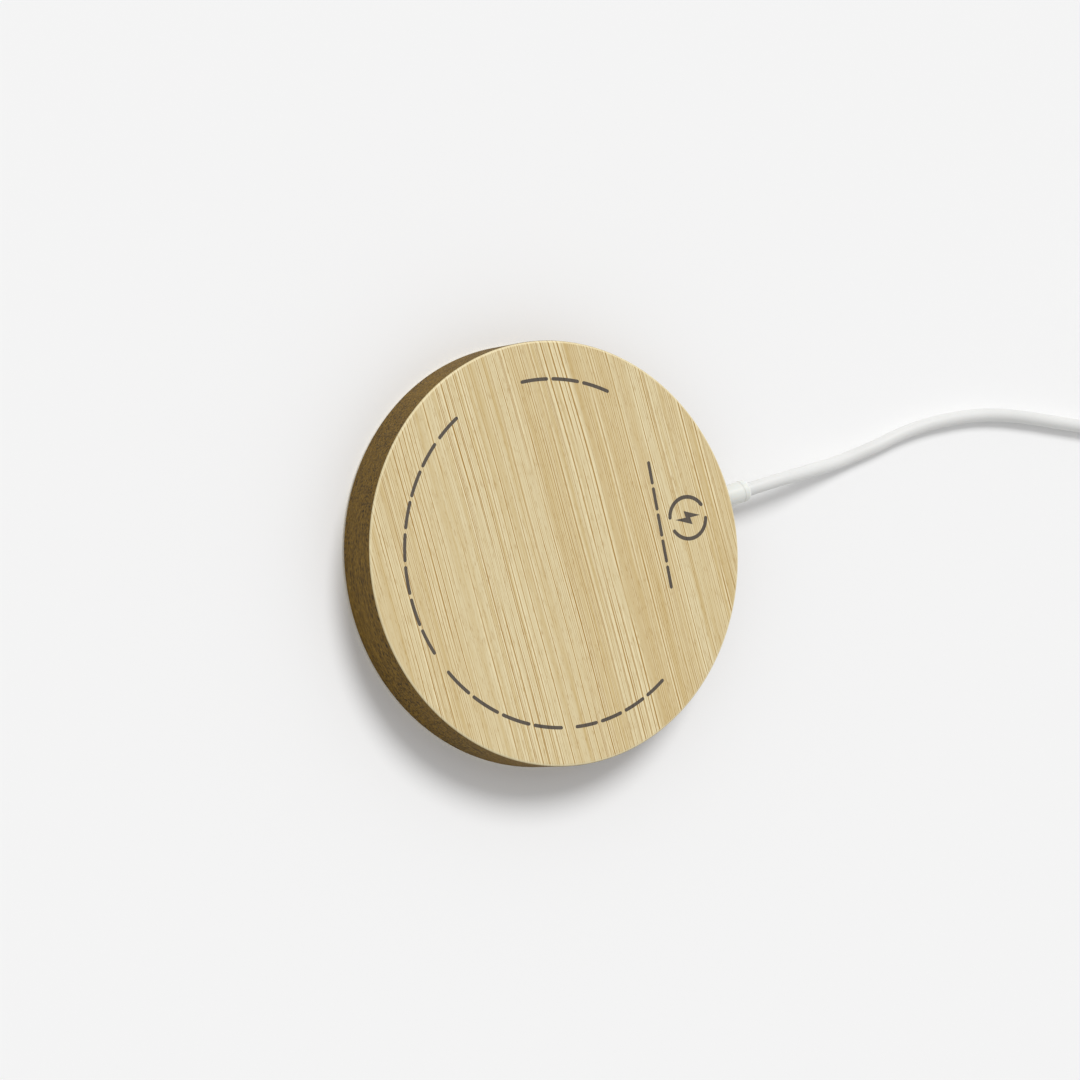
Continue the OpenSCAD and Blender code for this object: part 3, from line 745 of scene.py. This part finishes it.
def wound_cord():
    """Points of the wound cord: layer on layer, each layer going back across the one below."""
    seats = []
    for row in range(WIND_ROWS):
        columns = range(WIND_COLUMNS) if row % 2 else reversed(range(WIND_COLUMNS))
        seats += [(column - (WIND_COLUMNS - 1) / 2, row - (WIND_ROWS - 1) / 2) for column in columns]
    last = 360 * (len(seats) - 1) - WIND_FROM
    points = []
    for swept in range(0, last + 1, WIND_STEP):
        turn, along = divmod(swept, 360)
        here = seats[turn]
        following = seats[min(turn + 1, len(seats) - 1)]
        move = eased(max(0, (along - 360 + WIND_CROSSING) / WIND_CROSSING))
        angle = WIND_FROM + along
        from_tie = (angle - TIE_AT + 180) % 360 - 180
        squeeze = 1 - TIE_SQUEEZE * math.exp(-((from_tie / TIE_SPREAD) ** 4))
        out, up = (squeeze * CORD_D * (a + (b - a) * move) for a, b in zip(here, following))
        radius = WIND_R + out
        height = WIND_ROWS * CORD_D / 2 + up
        points.append((WIND_C[0] + radius * math.cos(math.radians(angle)),
                       WIND_C[1] + radius * math.sin(math.radians(angle)), height))
    return points


def make_cord():
    """The whole cord as one round curve, from the collar over the winding to the plug."""
    points = ROUTE + wound_cord() + END_ROUTE
    curve = bpy.data.curves.new("white_cord", "CURVE")
    curve.dimensions = "3D"
    curve.resolution_u = CORD_STEPS
    curve.bevel_depth = CORD_D / 2 * MM
    curve.bevel_resolution = CORD_SIDES
    curve.use_fill_caps = True
    spline = curve.splines.new("BEZIER")
    spline.bezier_points.add(len(points) - 1)
    for knot, point in zip(spline.bezier_points, points):
        knot.co = Vector(point) * MM
        knot.handle_left_type = knot.handle_right_type = "AUTO"
    return dress(add_object("white_cord", curve), "cord_white", "cord", "cord_coil", "cord_end")


cord = make_cord()

# ---------------------------------------- collar

CORD_Z = 4.5
COLLAR_R = 1.75
COLLAR_NOSE = 0.62
COLLAR_LINE_BACK = 1.25
COLLAR_LINE_W = 0.16
COLLAR_LINE_DEEP = 0.06
COLLAR_LINE_EDGE = 0.04
FLANGE_T = 0.9
FLANGE_EDGE = 0.15
COLLAR_ROOT = 0.1
ALONG_CORD = Matrix.Translation((0, 0, CORD_Z)) @ Matrix.Rotation(math.radians(90), 4, "Y")


def make_collar():
    """Soft sleeve round the cord, with a flange inside the wall and a line just before its nose."""
    low, high = box_mm("strain_relief")
    flange_r = (high.y - low.y) / 2
    line = high.x - COLLAR_LINE_BACK
    corners = [
        (CORD_D / 2, low.x, 0), (flange_r, low.x, FLANGE_EDGE),
        (flange_r, low.x + FLANGE_T, FLANGE_EDGE), (COLLAR_R, low.x + FLANGE_T, COLLAR_ROOT),
        (COLLAR_R, line - COLLAR_LINE_W, COLLAR_LINE_EDGE),
        (COLLAR_R - COLLAR_LINE_DEEP, line - COLLAR_LINE_W / 2, COLLAR_LINE_EDGE),
        (COLLAR_R, line, COLLAR_LINE_EDGE), (COLLAR_R, high.x, COLLAR_NOSE), (CORD_D / 2, high.x, 0)]
    collar = lathe("cord_collar", rounded(corners), joined=True, place=ALONG_CORD,
                   segments=SMALL_SEGMENTS)
    return dress(collar, "collar_white", "strain_relief")


collar = make_collar()

# ---------------------------------------- strap

STRAP_T = 0.3
STRAP_W = 5
STRAP_PITCH = 0.35
STRAP_LAP = 7.5
STRAP_LAP_GAP = 0.03
STRAP_RAMP = 2.5
STRAP_CORNER = 1.15
STRAP_EDGE = 0.14
STRAP_SLACK = 0.04


def evenly(points, pitch):
    """Points at an even pitch round a closed outline."""
    lengths = [(points[(i + 1) % len(points)] - p).length for i, p in enumerate(points)]
    count = round(sum(lengths) / pitch)
    step = sum(lengths) / count
    out = []
    side = 0
    walked = 0.0
    for k in range(count):
        while walked + lengths[side] < k * step:
            walked += lengths[side]
            side += 1
        a, b = points[side], points[(side + 1) % len(points)]
        out.append(a.lerp(b, (k * step - walked) / lengths[side]))
    return out


def round_winding(out, up, along):
    """Point on the strap, bent along with the wound cord under it."""
    radius = WIND_R + out
    angle = math.radians(TIE_AT) + along / radius
    return (WIND_C[0] + radius * math.cos(angle), WIND_C[1] + radius * math.sin(angle),
            WIND_ROWS * CORD_D / 2 + up)


def make_strap():
    """Hook-and-loop strap once round the wound cord, its end lapped over its start."""
    half_w, half_h = (count * CORD_D / 2 * (1 - TIE_SQUEEZE) + STRAP_T / 2 + STRAP_SLACK
                      for count in (WIND_COLUMNS, WIND_ROWS))
    corners = [(x * half_w, y * half_h, STRAP_CORNER) for x, y in QUARTERS]
    path = evenly(rounded(corners), STRAP_PITCH)
    lap = round(STRAP_LAP / STRAP_PITCH)
    ramp = round(STRAP_RAMP / STRAP_PITCH)
    section = rounded([(x * STRAP_W / 2, y * STRAP_T / 2, STRAP_EDGE) for x, y in QUARTERS])
    loops = []
    for i in range(len(path) + lap):
        here = path[i % len(path)]
        heading = (path[(i + 1) % len(path)] - path[i % len(path) - 1]).normalized()
        outward = Vector((heading.y, -heading.x))
        rise = min(1, max(0, (i - len(path) + ramp) / ramp))
        rise = eased(rise) * (STRAP_T + STRAP_LAP_GAP)
        loops.append([round_winding(*(here + outward * (rise + q.y)), q.x) for q in section])
    start, end = ([sum(map(Vector, loop), Vector()) / len(loop)] for loop in (loops[0], loops[-1]))
    form = bmesh.new()
    skin(form, rings_of(form, [start, *loops, end]))
    return dress(finish_form("coil_strap", form), "tie_grey", "coil_tie")


strap = make_strap()

# ---------------------------------------- plug

# The grip, and the tapered neck behind it with its grooves
GRIP_LEN = 19
GRIP_W = 11.6
GRIP_H = 6.4
GRIP_CORNER = 2.4
GRIP_BACK_ROUND = 1.1
GRIP_FRONT_ROUND = 0.5
NECK_LEN = 6
NECK_BACK_R = 1.7
NECK_FRONT_R = 2.3
GROOVES = (1.3, 2.6, 3.9)
GROOVE_DEEP = 0.22
GROOVE_W = 0.6

# Places and insets: round the neck's end, out to the grip's back, and of the grip's faint crown
NECK_END = ((0, 0.15), (0.05, 0.04), (0.15, 0))
NECK_FLARE = ((-0.5, 0), (-0.12, -0.12), (0, -0.4))
GRIP_CROWN = ((3, 0.05), (6, 0), (10, 0), (14, 0.05))

# Place in widths and depth as a share, across a groove
GROOVE_SHAPE = ((-0.5, 0), (-0.36, 0.25), (-0.2, 0.85), (0, 1), (0.2, 0.85), (0.36, 0.25), (0.5, 0))

# The metal shell, how far it goes into the grip and stands out of it, and the hollow behind it
SHELL_W = 8.25
SHELL_H = 2.4
SHELL_T = 0.25
SHELL_IN = 4
SHELL_OUT = 6.6
SHELL_LIP = 0.1
SHELL_LIP_STEPS = 6
SHELL_ROUND = SHELL_H / 2 - 0.01
MOUTH_SPREAD = 0.1
MOUTH_DEEP = 0.08
CHAMBER_LEN, CHAMBER_W, CHAMBER_H = 6, 8, 2
CHAMBER_CORNER = 0.3

# Points round a loop across the plug, and steps round an end of the grip
LOOP_COUNT = 64
ROUND_STEPS = 6
plug_low, plug_high = box_mm("plug_body")
AT_PLUG = (Matrix.Translation(((plug_low.x + plug_high.x) / 2, plug_high.y - NECK_LEN, GRIP_H / 2))
           @ Matrix.Rotation(math.radians(-90), 4, "Z"))


def soft_loop(x, width, height, radius):
    """Rounded rectangle across the plug at x, always with the same number of points."""
    steps = LOOP_COUNT // 4
    loop = []
    for turn, (side, top) in enumerate(QUARTERS):
        centre = (side * (width / 2 - radius), top * (height / 2 - radius))
        for k in range(steps):
            angle = math.radians(90) * (turn + k / (steps - 1))
            loop.append((x, centre[0] + radius * math.cos(angle), centre[1] + radius * math.sin(angle)))
    return loop


def round_loop(x, radius):
    """Circle across the plug at x, with as many points as a soft loop."""
    return soft_loop(x, 2 * radius, 2 * radius, radius * 0.999)


def neck_loops():
    """The tapered neck, with shallow grooves that let it flex."""
    loops = [round_loop(-NECK_LEN + place, NECK_BACK_R - inset) for place, inset in NECK_END]
    slope = (NECK_FRONT_R - NECK_BACK_R) / NECK_LEN
    for groove in GROOVES:
        for across, deep in GROOVE_SHAPE:
            from_back = groove + across * GROOVE_W
            radius = NECK_BACK_R + slope * from_back - deep * GROOVE_DEEP
            loops.append(round_loop(from_back - NECK_LEN, radius))
    return loops


def rounded_end(x, radius, back):
    """Places and insets round the back or the front end of the grip."""
    out = []
    for k in range(ROUND_STEPS + 1):
        angle = math.radians(90) * k / ROUND_STEPS
        if not back:
            angle = math.radians(90) - angle
        inset = radius * (1 - math.sin(angle))
        along = radius * (1 - math.cos(angle))
        out.append((x + along if back else x - along, inset))
    return out


def body_loops():
    """The moulded grip: softly crowned along its length, with round shoulders and a crisper front."""
    loops = [round_loop(place, NECK_FRONT_R - inset) for place, inset in NECK_FLARE]
    back = rounded_end(0, GRIP_BACK_ROUND, back=True)
    front = rounded_end(GRIP_LEN, GRIP_FRONT_ROUND, back=False)
    for x, inset in (*back, *GRIP_CROWN, *front):
        loops.append(soft_loop(x, GRIP_W - 2 * inset, GRIP_H - 2 * inset, GRIP_CORNER - inset / 2))
    return loops


def make_plug_grip():
    """Moulded grip with its neck, a mouth for the shell, and a hollow for the plug's board."""
    back = GRIP_LEN - SHELL_IN
    end = back - CHAMBER_LEN
    loops = [
        [(-NECK_LEN, 0, 0)], *neck_loops(), *body_loops(),
        soft_loop(GRIP_LEN, SHELL_W + MOUTH_SPREAD, SHELL_H + MOUTH_SPREAD, SHELL_ROUND),
        soft_loop(GRIP_LEN - MOUTH_DEEP, SHELL_W, SHELL_H, SHELL_ROUND),
        soft_loop(back, SHELL_W, SHELL_H, SHELL_ROUND),
        soft_loop(back, CHAMBER_W, CHAMBER_H, CHAMBER_CORNER),
        soft_loop(end, CHAMBER_W, CHAMBER_H, CHAMBER_CORNER), [(end, 0, 0)]]
    form = bmesh.new()
    skin(form, rings_of(form, loops))
    return dress(finish_form("plug_grip", form, AT_PLUG), "plug_white", "plug_body")


def make_plug_shell():
    """Drawn metal tube of the plug, its mouth rounded over."""
    front = GRIP_LEN + SHELL_OUT
    back = GRIP_LEN - SHELL_IN
    wall = [(back, 0), (back + SHELL_LIP, 0), (front - SHELL_LIP - SUPPORT, 0)]
    for k in range(SHELL_LIP_STEPS + 1):
        angle = math.radians(180) * k / SHELL_LIP_STEPS
        wall.append((front - SHELL_LIP + SHELL_LIP * math.sin(angle),
                     SHELL_T / 2 * (1 - math.cos(angle))))
    wall += [(front - SHELL_LIP - SUPPORT, SHELL_T), (back + SHELL_LIP, SHELL_T), (back, SHELL_T)]
    loops = [soft_loop(x, SHELL_W - 2 * inset, SHELL_H - 2 * inset, SHELL_ROUND - inset)
             for x, inset in wall]
    form = bmesh.new()
    skin(form, rings_of(form, loops), joined=True)
    return dress(finish_form("plug_mouth", form, AT_PLUG), "plug_metal", "plug_shell")


grip = make_plug_grip()
shell = make_plug_shell()

# ---------------------------------------- bamboo case

# Wall, back, and the ledge that the cover lies on; the print stands this much above the bamboo
SIDE_T = 4
BACK_T = 2
LEDGE_W = 1.5
LEDGE_DEEP = 1.4
PRINT_T = 0.015

# Radii of the edges: of the bamboo back, of the charging face, and of the seat, pocket and ceiling
TOP_EDGE_R = 0.45
FACE_EDGE_R = 0.4
SEAT_EDGE_R = 0.12
POCKET_EDGE_R = 0.1
CEILING_EDGE_R = 0.3

# The carrier's screws: where they are, the scallops beside the pocket and the holes above them
SCREW_ANGLES = (60, 180, 300)
SCREW_AT = 29.9
SCALLOP_R = 1.6
SCALLOP_Z = (1.2, 4.35)
SCREW_R = 0.72
SCREW_TOP = 6.3
SCREW_OVERLAP = 0.5
CORD_HOLE_GAP = 0.05
CUT_PAST = 1

case_low, case_high = box_mm("bamboo_case")
CASE_R = case_high.x
CASE_TOP = case_high.z - PRINT_T


def make_case():
    """One piece of bamboo, turned with its seat and pocket, then bored for the cord and the screws."""
    pocket_r = CASE_R - SIDE_T
    seat_r = pocket_r + LEDGE_W
    ledge = case_low.z + LEDGE_DEEP
    ceiling = case_high.z - BACK_T
    corners = [
        (0, CASE_TOP, 0), (CASE_R, CASE_TOP, TOP_EDGE_R), (CASE_R, case_low.z, FACE_EDGE_R),
        (seat_r, case_low.z, SEAT_EDGE_R), (seat_r, ledge, 0), (pocket_r, ledge, POCKET_EDGE_R),
        (pocket_r, ceiling, CEILING_EDGE_R), (0, ceiling, 0)]
    case = lathe("bamboo_shell", rounded(corners))
    bore = cylinder_outline(COLLAR_R + CORD_HOLE_GAP, pocket_r - CUT_PAST, CASE_R + CUT_PAST)
    cutters = [lathe("cord_hole", bore, place=ALONG_CORD, segments=SMALL_SEGMENTS)]
    scallop = cylinder_outline(SCALLOP_R, *SCALLOP_Z)
    hole = cylinder_outline(SCREW_R, SCALLOP_Z[1] - SCREW_OVERLAP, SCREW_TOP)
    for angle in SCREW_ANGLES:
        place = Matrix.Rotation(math.radians(angle), 4, "Z") @ Matrix.Translation((SCREW_AT, 0, 0))
        cutters.append(lathe("scallop", scallop, place=place, segments=48))
        cutters.append(lathe("screw_hole", hole, place=place, segments=32))
    cut(case, cutters)
    return dress(case, "bamboo", "bamboo_case")


make_case()

# ---------------------------------------- charging side

# The soft ring, the two fine grooves in it, and the gap beside it in the cover
RING_W = 3.8
RING_GAP = 0.05
RING_CROWN = 0.24
RING_EDGE = 0.05
RING_LINE_AT = (1 / 3, 2 / 3)
RING_LINE_HALF_W = 0.2
RING_LINE_DEEP = 0.14
COVER_EDGE = 0.2
COVER_FINE_EDGE = 0.08


def make_cover():
    """The moulded cover, with its groove for the soft ring and softened edges."""
    low, high = box_mm("charging_cover")
    ring_high = box_mm("grip_ring")[1]
    outer = ring_high.x + RING_GAP
    inner = outer - RING_W - 2 * RING_GAP
    corners = [
        (0, low.z, 0), (inner, low.z, COVER_FINE_EDGE), (inner, ring_high.z, 0),
        (outer, ring_high.z, 0), (outer, low.z, COVER_FINE_EDGE), (high.x, low.z, COVER_EDGE),
        (high.x, high.z, COVER_FINE_EDGE), (0, high.z, 0)]
    return dress(lathe("cover_disc", rounded(corners)), "cover_white", "charging_cover")


def make_grip_ring():
    """Soft ring that the phone rests on: a low crown with two fine grooves."""
    low, high = box_mm("grip_ring")
    outer = high.x
    inner = outer - RING_W
    corners = [(inner, high.z, RING_EDGE), (inner, low.z, RING_CROWN)]
    for share in RING_LINE_AT:
        middle = inner + share * RING_W
        corners += [(middle - RING_LINE_HALF_W, low.z, RING_EDGE),
                    (middle, low.z + RING_LINE_DEEP, RING_EDGE),
                    (middle + RING_LINE_HALF_W, low.z, RING_EDGE)]
    corners += [(outer, low.z, RING_CROWN), (outer, high.z, RING_EDGE)]
    return dress(lathe("soft_ring", rounded(corners), joined=True), "grip_silicone", "grip_ring")


make_cover()
make_grip_ring()

# ---------------------------------------- printed marks

# Plain dashes and a charging sign stand where the real pad has its print: first and last angle of
# each row of dashes round the edge, the ends of the straight row, and the sign with its bolt
DASH_W = 0.55
DASH_DEG = 8.6
DASH_GAP_DEG = 2.4
DASH_R = 27.0
DASH_POINTS = 12
DASH_ARCS = ((54, 87), (115, 124), (127, 199), (207, 254), (260, 297))
DASH_LINE = ((18.1, -11.0), (19.9, 9.7))
DASH_LINE_COUNT = 5
DASH_LINE_GAP = 0.12
SIGN_AT = (24.3, -0.9)
SIGN_TURN = -85
SIGN_R = 3.3
SIGN_LINE_W = 0.6
SIGN_BOWS = ((-70, 70), (110, 250))
SIGN_POINTS = 24
BOLT = ((0.35, 2.3), (-1.25, -0.35), (-0.15, -0.35), (-0.45, -2.3), (1.25, 0.45), (0.1, 0.45))
CAP_STEP = 30


def prism(form, outline):
    """Thin closed plate on the bamboo back."""
    low, high = ([form.verts.new((*q, z)) for q in outline] for z in (CASE_TOP - PRINT_T, case_high.z))
    form.faces.new(low)
    form.faces.new(high)
    for k in range(len(outline)):
        following = (k + 1) % len(outline)
        form.faces.new((low[k], low[following], high[following], high[k]))


def stroke(centres, width):
    """Outline of a line with round ends along some centres."""
    sides = ([], [])
    for i, here in enumerate(centres):
        heading = (centres[min(i + 1, len(centres) - 1)] - centres[max(i - 1, 0)]).normalized()
        left = Vector((-heading.y, heading.x)) * width / 2
        sides[0].append(here + left)
        sides[1].append(here - left)
    ends = []
    for end, start in ((centres[-1], sides[0][-1]), (centres[0], sides[1][0])):
        arm = start - end
        turns = (Matrix.Rotation(math.radians(a), 2) for a in range(CAP_STEP, 180, CAP_STEP))
        ends.append([end + arm @ turn for turn in turns])
    return sides[0] + ends[0] + sides[1][::-1] + ends[1]


def arc_points(radius, first, last, count):
    """Points at an even step on an arc round the middle."""
    angles = [math.radians(first + (last - first) * k / (count - 1)) for k in range(count)]
    return [radius * Vector((math.cos(a), math.sin(a))) for a in angles]


def edge_dashes(form):
    """Rows of curved dashes along the edge, each row filled by dashes of about the same length."""
    for first, last in DASH_ARCS:
        count = max(1, round((last - first + DASH_GAP_DEG) / (DASH_DEG + DASH_GAP_DEG)))
        length = (last - first + DASH_GAP_DEG) / count - DASH_GAP_DEG
        for k in range(count):
            start = first + k * (length + DASH_GAP_DEG)
            prism(form, stroke(arc_points(DASH_R, start, start + length, DASH_POINTS), DASH_W))


def straight_dashes(form):
    """The straight row of dashes beside the sign."""
    start, end = (Vector(q) for q in DASH_LINE)
    share = 1 / DASH_LINE_COUNT
    for k in range(DASH_LINE_COUNT):
        shares = (share * (k + DASH_LINE_GAP), share * (k + 1 - DASH_LINE_GAP))
        prism(form, stroke([start.lerp(end, a) for a in shares], DASH_W))


def charging_sign(form):
    """A bolt in a broken ring."""
    turn = Matrix.Rotation(math.radians(SIGN_TURN), 2)
    prism(form, [Vector(SIGN_AT) + turn @ Vector(q) for q in BOLT])
    for first, last in SIGN_BOWS:
        bow = [Vector(SIGN_AT) + turn @ q for q in arc_points(SIGN_R, first, last, SIGN_POINTS)]
        prism(form, stroke(bow, SIGN_LINE_W))


def make_marks():
    """All the print on the bamboo back as one thin piece."""
    form = bmesh.new()
    edge_dashes(form)
    straight_dashes(form)
    charging_sign(form)
    return dress(finish_form("back_marks", form), "print_ink")


make_marks()

# ---------------------------------------- floor and lights

# The lamp's direction and the width of its disc in degrees; the sky lights the object at one
# strength, and the backdrop is seen at another, as bright as the floor
SUN_FROM = (0.31, 0.66, 0.95)
SUN_STRENGTH = 1.7
SUN_SPREAD = 24
SKY_STRENGTH = 0.52
BACKDROP_STRENGTH = 0.885
FLOOR_Z = -0.02
FLOOR_HALF_M = 6
FLOOR_SHADE = 250


def make_floor():
    """Plain pale floor, a hair under the pad."""
    mesh = bpy.data.meshes.new("floor")
    form = bmesh.new()
    bmesh.ops.create_grid(form, x_segments=1, y_segments=1, size=FLOOR_HALF_M)
    form.to_mesh(mesh)
    form.free()
    floor = add_object("floor", mesh)
    floor.location.z = FLOOR_Z * MM
    m = Nodes("floor")
    m.set(Base_Color=rgb(FLOOR_SHADE, FLOOR_SHADE, FLOOR_SHADE), Roughness=0.75)
    m.shader.inputs["Specular IOR Level"].default_value = 0.2
    mesh.materials.append(m.material)


def make_sun():
    """One large soft light from the top right of the picture, so that the seen side is in shade."""
    data = bpy.data.lights.new("softbox", "SUN")
    data.energy = SUN_STRENGTH
    data.angle = math.radians(SUN_SPREAD)
    lamp = bpy.data.objects.new("softbox", data)
    lamp.rotation_euler = (-Vector(SUN_FROM)).to_track_quat("-Z", "Y").to_euler()
    bpy.context.scene.collection.objects.link(lamp)


def make_sky():
    """White studio surround: bright behind the object, softer as a light."""
    world = bpy.data.worlds.new("studio")
    world.use_nodes = True
    tree = world.node_tree
    sky = tree.nodes["Background"]
    sky.inputs["Color"].default_value = (1, 1, 1, 1)
    seen = tree.nodes.new("ShaderNodeLightPath").outputs["Is Camera Ray"]
    strength = tree.nodes.new("ShaderNodeMath")
    strength.operation = "MULTIPLY_ADD"
    strength.inputs[1].default_value = BACKDROP_STRENGTH - SKY_STRENGTH
    strength.inputs[2].default_value = SKY_STRENGTH
    tree.links.new(seen, strength.inputs[0])
    tree.links.new(strength.outputs[0], sky.inputs["Strength"])
    bpy.context.scene.world = world


make_floor()
make_sun()
make_sky()
bpy.context.scene.view_settings.view_transform = "Standard"

bpy.context.view_layer.update()
